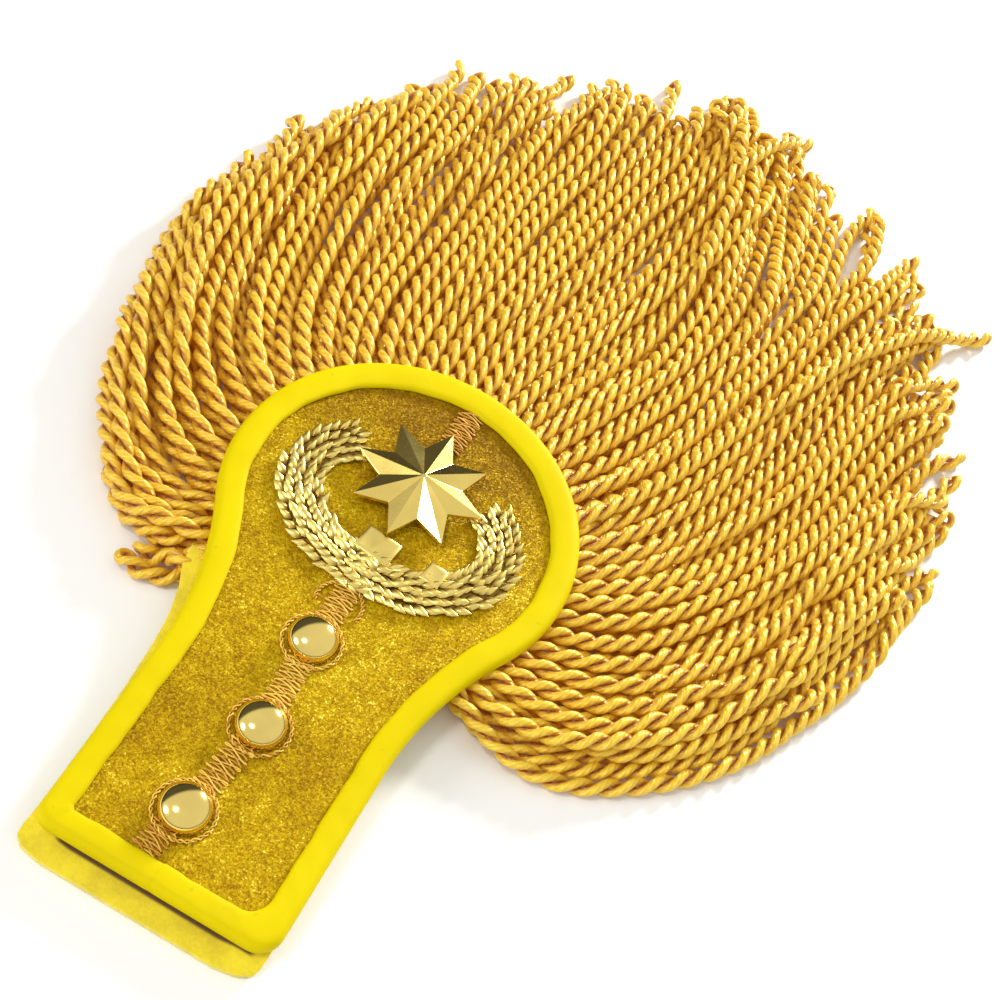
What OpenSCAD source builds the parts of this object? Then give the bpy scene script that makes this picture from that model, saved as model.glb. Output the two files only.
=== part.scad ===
// Dress epaulette lying on a table: a keyhole-shaped board with a ribbon binding, a felt
// sleeve under its strap, a long cord fringe round its head, and metal ornaments on top.
// +Y runs from the strap to the head, +Z is up, and the floor is z = 0.
// The origin is the middle of the sleeve's flat underside.

/* [Board] */
// Distance from the middle of the sleeve to the centre of the head, along Y
head_y = 85; // [82:1:88]
// Height of the covered face above the floor at the centre of the head
board_h = 16.4; // [16:0.1:18]
// Slope of the board, which lies on its sleeve at one end and on its fringe at the other
tilt = 4; // [3.6:0.1:4.2]
// Thickness of the stiff board with its glitter cloth
board_t = 2.2; // [1.8:0.1:2.6]

/* [Binding] */
// Radius of the binding's outer edge round the head
head_r = 51.3; // [50:0.1:53]
// How far the middle of the outer edge lies in front of the head's centre
head_shift = 1.5; // [0:0.1:2]
// Half the width of the strap over the binding
strap_hw = 33.1; // [31:0.1:35]
// Distance from the head's centre back to the strap's end
strap_end = 126.5; // [120:0.5:130]
// Distance from the middle of the outer edge back to where the strap's sides run straight
neck_reach = 73; // [70:0.5:78]
// Radius of the glitter field inside the binding
field_r = 44; // [43:0.1:45]
// Half the width of the glitter field on the strap
field_hw = 26.8; // [26:0.1:28]
// Distance from the head's centre back to the end of the glitter field
field_end = 120.5; // [116:0.5:121]
// Distance from the head's centre back to where the field's sides run straight
field_reach = 70; // [68:0.5:72]
// Thickness of the folded ribbon
binding_t = 1; // [1:0.1:1.2]

/* [Sleeve] */
// Thickness of the felt
felt_t = 2; // [1.5:0.1:2.5]
// Width of the flange that is sewn under each side of the board
flange_w = 7; // [5:0.5:9]
// Width of the bend between the flange and the flat underside
bend_w = 6; // [4:0.5:8]

/* [Ornaments] */
// Radius of the star over its points
star_r = 20.2; // [18:0.1:22]
// Radius of the star at its inner corners
star_valley_r = 12; // [10:0.1:16]
// Height of the star's rim
star_rim = 1.3; // [1:0.1:2.5]
// Height of the star's peak above its rim
star_peak = 4.2; // [3:0.1:6]
// Distance of the star's middle from the head's centre
star_y = 11.2; // [8:0.1:14]
// Half the width of the oval middle line of the wreath, across the board
wreath_rx = 30.4; // [29:0.1:31]
// Half the depth of that oval, along the board
wreath_ry = 21.5; // [21:0.1:23]
// Height of the wreath's leaves
wreath_h = 2.3; // [2:0.1:3]
// Leaves in each row of a branch
leaves = 12; // [8:1:14]
// Radius of a stud
stud_r = 6.8; // [6:0.1:8]
// Height of a stud
stud_h = 5.4; // [4:0.1:6.5]
// Width of the braid
braid_w = 7.6; // [6:0.1:9]
// Thickness of the braid
braid_t = 1.2; // [0.8:0.1:1.6]

/* [Fringe] */
// Number of locks
locks = 32; // [24:1:36]
// Radius of the ring on which the fringe is sewn
root_r = 42; // [40:0.5:43]
// Width of the band on which the cords are sewn
heading_w = 8; // [6:0.5:9]
// Thickness of that band with the cord ends
heading_t = 4; // [3:0.5:5]

/* [Hidden] */
$fn = 96;
seat_gap = 0.15;
soft_gap = 0.3;
rim_drop = board_t + seat_gap + binding_t;
rim_rise = seat_gap + binding_t;
edge_round = 0.5;
// How far the arcs of the neck cut into the head's circle, so that they cross cleanly
neck_cut = 0.02;
wall = binding_t + soft_gap;
gold = [0.83, 0.66, 0.30];

post_r = 4;
// Where a branch of the wreath ends, as an angle round the oval from its bottom
wreath_end = 146;
// Half the width of the thin ring that the leaves stand on, and how far the outer rows lie apart
wreath_hw = 4.6;
leaf_row = 3.4;
// The tie at the bottom of the wreath, two flat plates: middle x, middle y, length, width, turn
ties = [[-0.4, -12.4, 11, 9, -6], [17, -11.6, 6, 7.4, -6]];

// Where each stud sits, measured from the head's centre
stud_at = [[-0.8, -47.8], [0.4, -76.5], [-3.6, -105.9]];

// The sleeve, section by section: distance from the head's centre, left edge, right edge,
// and how far the section has risen from lying flat (0) to the binding's underside (1)
sleeve_sections = [
    [-132.5, -26, 22, 0.01], [-131.6, -32, 28, 0.01], [-129.5, -34.6, 31.6, 0.01], [-127, -34.8, 32.4, 0.6],
    [-124, -34.4, 32.6, 1], [-104, -34.2, 32.6, 1], [-84, -34.6, 32.6, 1], [-70, -35.4, 32.6, 1],
    [-60, -36.6, 33, 1], [-51, -39, 33.5, 1], [-44, -42.2, 34, 1], [-38, -43, 33, 1]];

// How the fringe lies: angle on the ring of roots, then the bearing of the cords at their
// roots, at two bends and at their tips (0 is away from the strap, 90 to the right), and length
fringe_lay = [
    [-134, -124, -52, -16, -6, 146], [-120, -107, -40, -12, -1, 154], [-100, -84, -30, -7, 3, 164],
    [-80, -68, -24, -4, 5, 171], [-60, -52, -11, 0, 4, 176], [-40, -34, 0, 2, 3, 182],
    [-20, -17, 3, 3, 4, 200], [-4, -3, 11, 5, 2, 206], [10, 8, 15, 4, -8, 210], [24, 20, 18, 4, -12, 214],
    [36, 30, 18, 7, -4, 214], [48, 40, 18, 10, 8, 211], [60, 50, 18, 13, 20, 204], [80, 68, 29, 15, 22, 194],
    [103, 88, 38, 17, 20, 184], [120, 108, 50, 20, 17, 181], [134, 136, 64, 26, 11, 178]];
// The two bends, as fractions of the length of a cord
bends = [0.3, 0.65];
// Height of the fringe along a cord, as a share of its height at the root, against its length
fringe_top = [[0, 1], [0.1, 0.94], [0.25, 0.76], [0.55, 0.61], [0.85, 0.45], [1, 0.3]];
// Width of a lock along its length, as a share of the space between its neighbours
lock_fill = [[0, 0.86], [0.8, 0.88], [0.93, 0.74], [1, 0.34]];
lock_rings = 9;
// How far the root of a lock lies inside the top and bottom of the heading
root_inset = 0.4;
// Where the ring of roots and the heading end, on both sides of the strap
root_end = 134;
heading_end = 137;

// Height of the binding's underside above the floor, at a distance from the head's centre
function rim_z(y) = board_h + y * tan(tilt) - rim_drop / cos(tilt);

// Column c of the lay table at an angle on the ring of roots
function lay(a, c) = lookup(a, [for (row = fringe_lay) [row[0], row[c]]]);

// Bearing of the cords from angle a after fraction t of their length
function bearing(a, t) =
    lookup(t, [[0, lay(a, 1)], [bends[0], lay(a, 2)], [bends[1], lay(a, 3)], [1, lay(a, 4)]]);

// The points of the path that starts at angle a, its last step longer by a share extra of the length
function path(a, extra) = [
    for (i = 0, p = root_r * [sin(a), cos(a)]; i <= lock_rings; i = i + 1,
         b = bearing(a, (i - 0.5) / lock_rings),
         p = p + lay(a, 5) * (1 / lock_rings + (i == lock_rings ? extra : 0)) * [sin(b), cos(b)])
    p];

// How much longer or shorter than in the table lock i is, as a share of its length
function ragged(i) = 0.03 * sin(137 * i) + 0.02 * sin(61 * i);

// The two triangles of each face between rings of n points, then both caps as rows of quads
function ring_faces(n, rings) = concat(
    [for (j = [0 : rings - 2], i = [0 : n - 1])
        [j * n + i, (j + 1) * n + i, j * n + (i + 1) % n]],
    [for (j = [0 : rings - 2], i = [0 : n - 1])
        [j * n + (i + 1) % n, (j + 1) * n + i, (j + 1) * n + (i + 1) % n]],
    [for (i = [0 : n / 2 - 2]) [i, i + 1, n - 2 - i, n - 1 - i]],
    [for (i = [0 : n / 2 - 2], k = (rings - 1) * n) [k + n - 1 - i, k + n - 2 - i, k + i + 1, k + i]]);

// Puts a piece on the covered face of the board: its z = 0 is that face, its y = 0 the head's centre
module on_board(z = 0) {
    translate([0, head_y, board_h]) rotate([tilt, 0, 0]) translate([0, 0, z]) children();
}

// Keyhole outline: a round head of radius r at height cy, run into a strap of half width hw
// by concave arcs that begin a distance reach below the head's middle
module keyhole(r, cy, hw, reach, end, corner) {
    met_r = r - neck_cut;
    neck_r = (hw * hw + reach * reach - met_r * met_r) / (2 * (met_r - hw));
    touch = r / (met_r + neck_r);
    touch_x = (hw + neck_r) * touch;
    touch_y = cy - reach * touch;
    translate([0, cy]) circle(r);
    difference() {
        polygon([[-hw, cy - reach], [hw, cy - reach], [touch_x, touch_y], [-touch_x, touch_y]]);
        for (side = [-1, 1]) translate([side * (hw + neck_r), cy - reach]) circle(neck_r);
    }
    translate([-hw, corner - end]) square([2 * hw, end - corner + cy - reach]);
    translate([corner - hw, -end]) square([2 * (hw - corner), corner + 1]);
    for (side = [-1, 1]) translate([side * (hw - corner), corner - end]) circle(corner);
}

// The binding's outer edge, drawn in by some distance
module rim_outline(inset) {
    keyhole(head_r - inset, head_shift, strap_hw - inset, neck_reach, strap_end - inset, 4 - inset);
}

// The glitter field that the binding leaves open
module field_outline() {
    keyhole(field_r, 0.3, field_hw, field_reach, field_end, 3);
}

module board() {
    color([0.72, 0.58, 0.10])
    on_board(-board_t) linear_extrude(board_t) rim_outline(wall + soft_gap);
}

// Satin ribbon folded round the whole edge: a channel that holds the board
module binding() {
    color([0.98, 0.90, 0.08])
    on_board() difference() {
        union() {
            translate([0, 0, -rim_drop]) linear_extrude(rim_drop + rim_rise) rim_outline(edge_round);
            translate([0, 0, edge_round - rim_drop])
                linear_extrude(rim_drop + rim_rise - 2 * edge_round) rim_outline(0);
        }
        translate([0, 0, -board_t - seat_gap]) linear_extrude(board_t + 2 * seat_gap) rim_outline(wall);
        translate([0, 0, -2 * rim_drop]) linear_extrude(4 * rim_drop) field_outline();
    }
}

// One section of the sleeve, going round: over the top from left to right and back below
function sleeve_ring(s) =
    let (y = s[0], high = felt_t + s[3] * max(rim_z(s[0]) - soft_gap - felt_t, 0), low = high - felt_t,
         left = s[1], right = s[2])
    [[left, y, high], [left + flange_w, y, high], [left + flange_w + bend_w, y, felt_t],
     [right - flange_w - bend_w, y, felt_t], [right - flange_w, y, high], [right, y, high],
     [right, y, low], [right - flange_w - 1, y, low], [right - flange_w - bend_w - 1, y, 0],
     [left + flange_w + bend_w + 1, y, 0], [left + flange_w + 1, y, low], [left, y, low]];

// Felt strip whose flanges are sewn under the sides of the strap: a flat sleeve, open at both ends
module sleeve() {
    color([0.93, 0.84, 0.10])
    translate([0, head_y, 0])
        polyhedron([for (s = sleeve_sections) each sleeve_ring(s)], ring_faces(12, len(sleeve_sections)));
}

// One lock between the paths from two angles of the ring of roots
module lock(i) {
    half_step = root_end / locks;
    a = -root_end + (2 * i + 1) * half_step;
    left = path(a - half_step, ragged(i));
    right = path(a + half_step, ragged(i));
    root_top = rim_z(left[0].y) - soft_gap;
    points = [for (j = [0 : lock_rings])
        let (t = j / lock_rings, middle = (left[j] + right[j]) / 2,
             half = (right[j] - left[j]) / 2 * lookup(t, lock_fill),
             top = j == 0 ? root_top - root_inset : root_top * lookup(t, fringe_top),
             bottom = j == 0 ? root_top - heading_t + root_inset : 0)
        for (c = [[-1, 0], [-1, 0.5], [-0.55, 1], [0.55, 1], [1, 0.5], [1, 0]])
            [middle.x + half.x * c.x, middle.y + half.y * c.x, bottom + (top - bottom) * c.y]];
    polyhedron(points, ring_faces(6, lock_rings + 1));
}

// The band round the head's underside on which the cords are sewn
module heading() {
    steps = 22;
    points = [for (j = [0 : steps])
        let (a = -heading_end + 2 * heading_end * j / steps)
        for (c = [[1, -1], [1, 0], [-1, 0], [-1, -1]])
            let (r = root_r + c.x * heading_w / 2)
            [r * sin(a), r * cos(a), rim_z(r * cos(a)) - soft_gap + c.y * heading_t]];
    polyhedron(points, ring_faces(4, steps + 1));
}

// Fringe of twisted cords, as locks fused to their heading
module fringe() {
    color([0.90, 0.68, 0.15])
    translate([0, head_y, 0]) {
        heading();
        for (i = [0 : locks - 1]) lock(i);
    }
}

// A raised leaf that starts at the origin and points along +X
module leaf(l, w, h) {
    polyhedron([[0, 0, 0], [l * 0.4, -w / 2, 0], [l, 0, 0], [l * 0.4, w / 2, 0], [l * 0.4, 0, h]],
        [[0, 4, 1], [1, 4, 2], [2, 4, 3], [3, 4, 0], [0, 1, 2, 3]]);
}

// A point at angle t round the wreath's oval from its bottom, moved outward by a distance
function oval(t, out) =
    let (away = [wreath_ry * sin(t), -wreath_rx * cos(t)])
    [wreath_rx * sin(t), -wreath_ry * cos(t)] + out * away / norm(away);

// Length of the oval from its bottom to angle t, and the angle that lies a length from the bottom
function oval_run(t) = t <= 0 ? 0 : oval_run(t - 2) + norm(oval(t, 0) - oval(t - 2, 0));
oval_angles = [for (t = [0 : 2 : wreath_end]) [oval_run(t), t]];
function oval_angle(run) = lookup(run, oval_angles);

// Laurel wreath: two branches of pointed leaves in three rows, on a thin open ring, with a tie
module wreath() {
    step = (oval_run(wreath_end) - 7) / leaves;
    color([0.86, 0.78, 0.45])
    on_board(seat_gap) {
        linear_extrude(wreath_h * 0.4) polygon(concat(
            [for (t = [-wreath_end : 4 : wreath_end]) oval(t, wreath_hw)],
            [for (t = [wreath_end : -4 : -wreath_end]) oval(t, -wreath_hw)]));
        for (side = [0, 1], i = [0 : leaves - 1], row = [-1, 0, 1])
            let (t = oval_angle(2 + step * (i + abs(row) / 2)), at = oval(t, leaf_row * row))
            mirror([side, 0, 0]) translate([at.x, at.y, 0])
                rotate(atan2(wreath_ry * sin(t), wreath_rx * cos(t)) - 26 * row)
                    leaf(8 - 0.15 * i, 4.2 - 0.07 * i, wreath_h - 0.3 * abs(row));
        for (tie = ties) translate([tie[0], tie[1], wreath_h / 2]) rotate(tie[4])
            cube([tie[2], tie[3], wreath_h - 0.1], center = true);
    }
}

// Eight-pointed star on a post: each point has a ridge that runs up to the peak
module star() {
    base = wreath_h + seat_gap;
    ring = [for (k = [0 : 15]) (k % 2 == 0 ? star_r : star_valley_r) * [sin(22.5 * k), cos(22.5 * k)]];
    points = concat([for (p = ring) [p.x, p.y, base]], [for (p = ring) [p.x, p.y, base + star_rim]],
        [[0, 0, base + star_rim + star_peak]]);
    faces = concat([[for (k = [15 : -1 : 0]) k]],
        [for (k = [0 : 15]) [k, (k + 1) % 16, 16 + (k + 1) % 16, 16 + k]],
        [for (k = [0 : 15]) [16 + k, 16 + (k + 1) % 16, 32]]);
    color(gold)
    on_board(seat_gap) translate([0, star_y, 0]) {
        polyhedron(points, faces);
        cylinder(h = base + star_rim, r = post_r);
    }
}

// A domed stud
module stud(at) {
    ball_r = (stud_r * stud_r + stud_h * stud_h) / (2 * stud_h);
    color(gold)
    on_board(seat_gap) translate([at.x, at.y, 0]) intersection() {
        translate([0, 0, stud_h - ball_r]) sphere(ball_r);
        cylinder(h = 2 * stud_h, r = stud_r);
    }
}

module stud_1() { stud(stud_at[0]); }
module stud_2() { stud(stud_at[1]); }
module stud_3() { stud(stud_at[2]); }

// Outline of a toothed strip of braid along the line between two points
module braid_strip(from, to) {
    tooth = 2.3;
    run = to - from;
    teeth = floor(norm(run) / tooth);
    pitch = norm(run) / teeth;
    low = [for (i = [0 : 2 * teeth]) [i * pitch / 2, -braid_w / 2 + (i % 2) * 1]];
    high = [for (i = [2 * teeth : -1 : 0]) [i * pitch / 2, braid_w / 2 - (i % 2) * 1]];
    translate(from) rotate(atan2(run.y, run.x)) polygon(concat(low, high));
}

// Gimp braid down the middle of the strap and round each stud
module braid() {
    foot = [-6.4, -field_end + 1.1];
    color([0.80, 0.52, 0.16])
    on_board(seat_gap) linear_extrude(braid_t) difference() {
        union() {
            braid_strip(foot, stud_at[2]);
            braid_strip(stud_at[2], stud_at[1]);
            braid_strip(stud_at[1], stud_at[0]);
            braid_strip(stud_at[0], [0, -wreath_ry - 8.2]);
            for (at = stud_at) translate(at) circle(stud_r + 2.4);
        }
        for (at = stud_at) translate(at) circle(stud_r + soft_gap);
    }
}

// The end of the braid above the star
module top_braid() {
    color([0.80, 0.52, 0.16])
    on_board(seat_gap) linear_extrude(braid_t) braid_strip([0.8, star_y + post_r + 12], [1.2, field_r - 0.4]);
}

board();
binding();
sleeve();
fringe();
wreath();
star();
stud_1();
stud_2();
stud_3();
braid();
top_braid();
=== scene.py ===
# %% [markdown]
# # A dress epaulette with a corded fringe
#
# A dress epaulette is a stiff board on a coat's shoulder. This one is covered with glitter cloth,
# bound with yellow satin ribbon and dressed with a gilt star, a laurel wreath and three studs.
# Round its head hangs a fringe of twisted cords. The lesson loads the measured solids of the
# epaulette as a fixed frame, and dresses each of them with what the eye sees.

import math

import bmesh
import bpy
import numpy as np
from mathutils import Matrix, Vector
from mathutils.kdtree import KDTree


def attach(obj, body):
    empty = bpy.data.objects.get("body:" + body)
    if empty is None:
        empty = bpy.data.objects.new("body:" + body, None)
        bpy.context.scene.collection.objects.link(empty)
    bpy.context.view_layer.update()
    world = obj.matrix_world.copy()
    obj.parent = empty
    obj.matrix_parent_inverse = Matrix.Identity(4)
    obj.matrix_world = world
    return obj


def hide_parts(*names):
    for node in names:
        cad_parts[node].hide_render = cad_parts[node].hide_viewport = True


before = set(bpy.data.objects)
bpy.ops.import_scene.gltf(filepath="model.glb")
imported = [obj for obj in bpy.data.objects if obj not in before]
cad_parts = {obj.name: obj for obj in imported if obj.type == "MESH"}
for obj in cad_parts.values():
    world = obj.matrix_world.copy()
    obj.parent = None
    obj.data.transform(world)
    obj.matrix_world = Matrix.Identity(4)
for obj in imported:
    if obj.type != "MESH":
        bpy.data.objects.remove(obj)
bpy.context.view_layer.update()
print("solids:", ", ".join(sorted(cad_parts)))

# %% [markdown]
# ## Where things are
#
# Sizes here are in millimetres, as a maker would write them, and become metres when a mesh is made.
# The board lies tilted on its sleeve and its fringe. A place on it is easiest to give as x across,
# y from the middle of the round head, and z above the glitter cloth, so a helper turns such a place
# into one in the room.

# %% Sizes that the pieces share
MM = 0.001
HEAD_Y = 85.0
BOARD_H = 16.4
TILT = math.radians(4)
BOARD_T = 2.2
RIM_DROP = 3.35
SEAT_GAP = 0.15
FIELD_END = 120.5
STUD_AT = [(-0.8, -47.8), (0.4, -76.5), (-3.6, -105.9)]
STUD_R = 6.8
WREATH_RX = 30.4
WREATH_RY = 21.5
STAR_Y = 11.2


def on_board(points):
    """Places on the glitter cloth, in millimetres from the head's middle, as places in the room."""
    x, y, z = np.asarray(points, float).T
    return np.stack([x, HEAD_Y + y * math.cos(TILT) - z * math.sin(TILT),
                     BOARD_H + y * math.sin(TILT) + z * math.cos(TILT)], axis=1)


def rim_z(y):
    """Height of the binding's underside above the floor, at a distance from the head's middle."""
    return BOARD_H + y * np.tan(TILT) - RIM_DROP / math.cos(TILT)


print("star's middle in the room:", on_board([(0, STAR_Y, 0)]).round(1))

# %% [markdown]
# ## The camera
#
# The epaulette lies on a white table, and the camera looks down on it from beyond the strap's end,
# rolled by 26 degrees, so that the strap runs to the lower left. The angles and the distance come
# from fitting the keyhole outline and the ring of the wreath to the view.

# %% Camera
CAMERA_AIM = Vector((20.49, HEAD_Y + 28.97, 10))
CAMERA_DISTANCE = 523.85
CAMERA_AZIMUTH = math.radians(-5.01)
CAMERA_ELEVATION = math.radians(50.52)
CAMERA_ROLL = math.radians(26.2)

ahead = Vector((math.cos(CAMERA_ELEVATION) * math.sin(CAMERA_AZIMUTH),
                math.cos(CAMERA_ELEVATION) * math.cos(CAMERA_AZIMUTH),
                -math.sin(CAMERA_ELEVATION)))
level = ahead.cross(Vector((0, 0, 1))).normalized()
right = level * math.cos(CAMERA_ROLL) + level.cross(ahead) * math.sin(CAMERA_ROLL)
above = right.cross(ahead)
turn = Matrix((right, above, -ahead)).transposed().to_4x4()
place = (CAMERA_AIM - ahead * CAMERA_DISTANCE) * MM
bpy.ops.object.camera_add()
camera = bpy.context.object
camera.name = "camera"
camera.matrix_world = Matrix.Translation(place) @ turn
camera.data.sensor_width = 36
camera.data.lens = 64.8
camera.data.clip_start = 0.01
bpy.context.scene.camera = camera
print("camera stands at", [round(c, 3) for c in place])

# %% [markdown]
# ## Table and light
#
# The table is plain and nearly white. One lamp stands low behind the epaulette and to the right, so
# that each ply of a cord has a bright edge and the gaps between cords stay dark. A small lamp above
# makes one facet of the star flash, a weak one at the left reaches under the strap's end, and the
# surroundings light the rest. Gilt metal shows whatever is around it, so the surroundings are bright
# above and dark beyond the head at the left, which gives the star and the studs their dark parts.

# %% Table, surroundings and lamps
bpy.ops.mesh.primitive_plane_add(size=6, location=(0, 0, -0.0002))
table = bpy.context.object
table.name = "table"
bpy.context.scene.view_settings.view_transform = "Standard"


def lamp(name, size, power, way, far):
    """A round softbox that shines on the epaulette from a direction and a distance."""
    aim = Vector((0, HEAD_Y * MM, 0))
    bpy.ops.object.light_add(type="AREA", location=aim + Vector(way).normalized() * far)
    made = bpy.context.object
    made.name = name
    made.data.shape = "DISK"
    made.data.size = size
    made.data.energy = power
    made.rotation_euler = Vector(way).to_track_quat("Z", "Y").to_euler()


lamp("key", 0.24, 23, (0.26, 0.89, 0.37), 1.4)
lamp("top", 0.26, 3.6, (-0.33, -0.32, 0.89), 1.3)
lamp("fill", 0.5, 6, (-0.72, -0.52, 0.46), 1.4)

# %% [markdown]
# ## Writing materials as sums
#
# Each material is a small graph of nodes. Written out node by node it is hard to read, so a value
# in the graph is wrapped in a class on which + - and * work, and each sign adds its Math node. All
# other nodes come from one method.

# %% A value in a material that can be calculated with
class Wire:
    """One output of a node, or the material's graph itself, for writing a material as sums."""

    def __init__(self, tree, socket=None):
        self.tree = tree
        self.socket = socket

    def node(self, kind, settings=None, inputs=None, out=0):
        """Adds a node, sets or links its inputs, and gives one of its outputs."""
        made = self.tree.nodes.new("ShaderNode" + kind)
        for name, value in (settings or {}).items():
            if name == "stops":
                for element, (place, colour) in zip(self.stops(made, len(value)), value):
                    element.position = place
                    element.color = (*colour, 1)
            else:
                setattr(made, name, value)
        for name, value in (inputs or {}).items():
            socket = made.inputs[name]
            if isinstance(value, Wire):
                self.tree.links.new(value.socket, socket)
            elif hasattr(socket.default_value, "__len__") and len(socket.default_value) > len(value):
                socket.default_value = (*value, 1)
            else:
                socket.default_value = value
        return Wire(self.tree, made.outputs[out])

    @staticmethod
    def stops(ramp, count):
        elements = ramp.color_ramp.elements
        while len(elements) < count:
            elements.new(1)
        return elements

    def math(self, operation, *values):
        return self.node("Math", {"operation": operation}, dict(enumerate(values)))

    def vector(self, operation, *values, out=0):
        return self.node("VectorMath", {"operation": operation}, dict(enumerate((self, *values))), out)

    def axis(self, number):
        """One coordinate of a place: 0 is x, 1 is y and 2 is z."""
        return self.node("SeparateXYZ", None, {"Vector": self}, out=number)

    def clamped(self):
        return self.node("Math", {"operation": "ADD", "use_clamp": True}, {0: self, 1: 0.0})

    def between(self, low, high):
        """0 where this value is low or less, 1 where it is high or more, and smooth between."""
        return self.node("MapRange", {"interpolation_type": "SMOOTHSTEP"},
                         {"Value": self, "From Min": low, "From Max": high})

    def pick(self, low, high):
        """A colour that is low where this value is 0 and high where it is 1."""
        return self.node("Mix", {"data_type": "RGBA"}, {0: self, 6: low, 7: high}, out=2)

    def __add__(self, other):
        return self.math("ADD", self, other)

    def __sub__(self, other):
        return self.math("SUBTRACT", self, other)

    def __rsub__(self, other):
        return self.math("SUBTRACT", other, self)

    def __mul__(self, other):
        return self.math("MULTIPLY", self, other)

    __radd__ = __add__


def new_material(name):
    """A material, its graph to write on, its Principled shader, and the place in the room."""
    made = bpy.data.materials.new(name)
    made.use_nodes = True
    graph = Wire(made.node_tree)
    return made, graph, made.node_tree.nodes["Principled BSDF"], graph.node("TexCoord", out=3)


def feed(graph, shader, **sockets):
    """Sets or links sockets of the shader: base_color stands for Base Color."""
    for name, value in sockets.items():
        socket = shader.inputs[name.replace("_", " ").title().replace("Ior", "IOR")]
        if isinstance(value, Wire):
            graph.tree.links.new(value.socket, socket)
        elif hasattr(value, "__len__") and len(value) == 3:
            socket.default_value = (*value, 1) if len(socket.default_value) == 4 else value
        else:
            socket.default_value = value


def noise(graph, where, scale, detail=2.0, roughness=0.5):
    return graph.node("TexNoise", None, {"Vector": where, "Scale": scale, "Detail": detail,
                                         "Roughness": roughness})


def kept(graph, label):
    """A value that each vertex of the mesh keeps."""
    return graph.node("Attribute", {"attribute_name": label}, out=2)


def raised(graph, height, distance, strength=1.0):
    """A bump whose height runs from 0 to 1 over a distance in metres."""
    return graph.node("Bump", None, {"Height": height, "Distance": distance, "Strength": strength})


# %% Table top
table_material, g, shader, room = new_material("table_top")
cloudy = noise(g, room, 3.0)
feed(g, shader, base_color=cloudy.pick((0.90, 0.90, 0.89), (0.93, 0.93, 0.92)), roughness=0.55)
table.data.materials.append(table_material)

world = bpy.data.worlds.new("surroundings")
bpy.context.scene.world = world
world.use_nodes = True
w = Wire(world.node_tree)
way = w.node("TexCoord", out=0)
to_dark = way.vector("DOT_PRODUCT", Vector((-0.70, 0.65, -0.2)), out=1)
sky = way.axis(2).between(-0.05, 0.3) * 0.72 + 0.08
sky = sky * (1 - to_dark.between(0.45, 0.6) * 0.88)
back = world.node_tree.nodes["Background"]
w.tree.links.new(sky.pick((0, 0, 0), (1.0, 0.985, 0.95)).socket, back.inputs["Color"])
back.inputs["Strength"].default_value = 1.0

# %% [markdown]
# ## Making a mesh from rows of points
#
# Ribbons, cords and felt are all made of rows of points, so a few helpers turn rows into a mesh
# with faces, keep a pattern's coordinates on it, and hand it over to the frame.

# %% Helpers for meshes
def new_piece(name, points, faces):
    """A smooth mesh object from points in millimetres."""
    mesh = bpy.data.meshes.new(name)
    mesh.from_pydata((np.asarray(points, float) * MM).tolist(), [], [list(face) for face in faces])
    mesh.update()
    mesh.shade_smooth()
    made = bpy.data.objects.new(name, mesh)
    bpy.context.scene.collection.objects.link(made)
    return made


def run_along(points):
    """How far along a row of points each one lies."""
    return np.concatenate([[0], np.cumsum(np.linalg.norm(np.diff(points, axis=0), axis=1))])


def remember(piece, label, values):
    """Keeps a value for each vertex on the mesh, for its material to read."""
    piece.data.attributes.new(label, "FLOAT", "POINT").data.foreach_set("value", values)


def unit(v):
    return v / np.linalg.norm(v, axis=-1, keepdims=True)


def only(piece):
    """Selects one object alone, so that an operator acts on nothing else."""
    bpy.ops.object.select_all(action="DESELECT")
    piece.select_set(True)
    bpy.context.view_layer.objects.active = piece


def finish_modifier(piece, kind, **settings):
    """Adds a modifier, sets it and applies it."""
    only(piece)
    modifier = piece.modifiers.new(kind.lower(), kind)
    for name, value in settings.items():
        setattr(modifier, name, value)
    bpy.ops.object.modifier_apply(modifier=modifier.name)


def bevel(piece, width, angle):
    """Rounds the edges that are sharper than an angle in degrees."""
    finish_modifier(piece, "BEVEL", width=width * MM, segments=2, limit_method="ANGLE",
                    angle_limit=math.radians(angle))


def triangles(piece):
    return sum(len(face.vertices) - 2 for face in piece.data.polygons)


def hand_over(piece, material, slot, *nodes):
    """Gives a piece its material and its place on the epaulette."""
    piece.data.materials.clear()
    piece.data.materials.append(material)
    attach(piece, "root")
    if nodes:
        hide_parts(*nodes)
    print(piece.name, "has", triangles(piece), "triangles")


# %% [markdown]
# ## The ribbon binding
#
# The binding is a satin ribbon, folded round the raw edge of the board and sewn down. Its outer and
# inner edges are both keyhole shaped: a round head that runs into a strap through two hollow arcs.
# So one function gives such an outline with the same number of points each time, and the ribbon
# is spanned between the two outlines, along a section that goes over the top, round the edge and
# back below. It is slightly crowned, as cloth is over a board, and its inner edge isn't quite even.

# %% Keyhole outlines
def arc(x, y, radius, start, end, count):
    """Points along an arc, from one angle in degrees to short of the other."""
    angles = np.radians(np.linspace(start, end, count, endpoint=False))
    return np.stack([x + radius * np.cos(angles), y + radius * np.sin(angles)], axis=1)


def line(start, end, count):
    return np.linspace(start, end, count, endpoint=False)


def keyhole(radius, middle, half, reach, end, left_corner, right_corner):
    """A keyhole outline that goes round against the clock from the middle of the strap's end."""
    neck = (half * half + reach * reach - radius * radius) / (2 * (radius - half))
    meet = math.degrees(math.atan2(reach, half + neck))
    bottom = middle - reach

    def side(corner):
        return np.concatenate([
            line((0, -end), (half - corner, -end), 24),
            arc(half - corner, corner - end, corner, -90, 0, 8),
            line((half, corner - end), (half, bottom), 40),
            arc(half + neck, bottom, neck, 180, 180 - meet, 24)])

    mirrored = side(left_corner)[::-1] * [-1, 1]
    return np.concatenate([side(right_corner), arc(0, middle, radius, -meet, 180 + meet, 120), mirrored])


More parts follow.
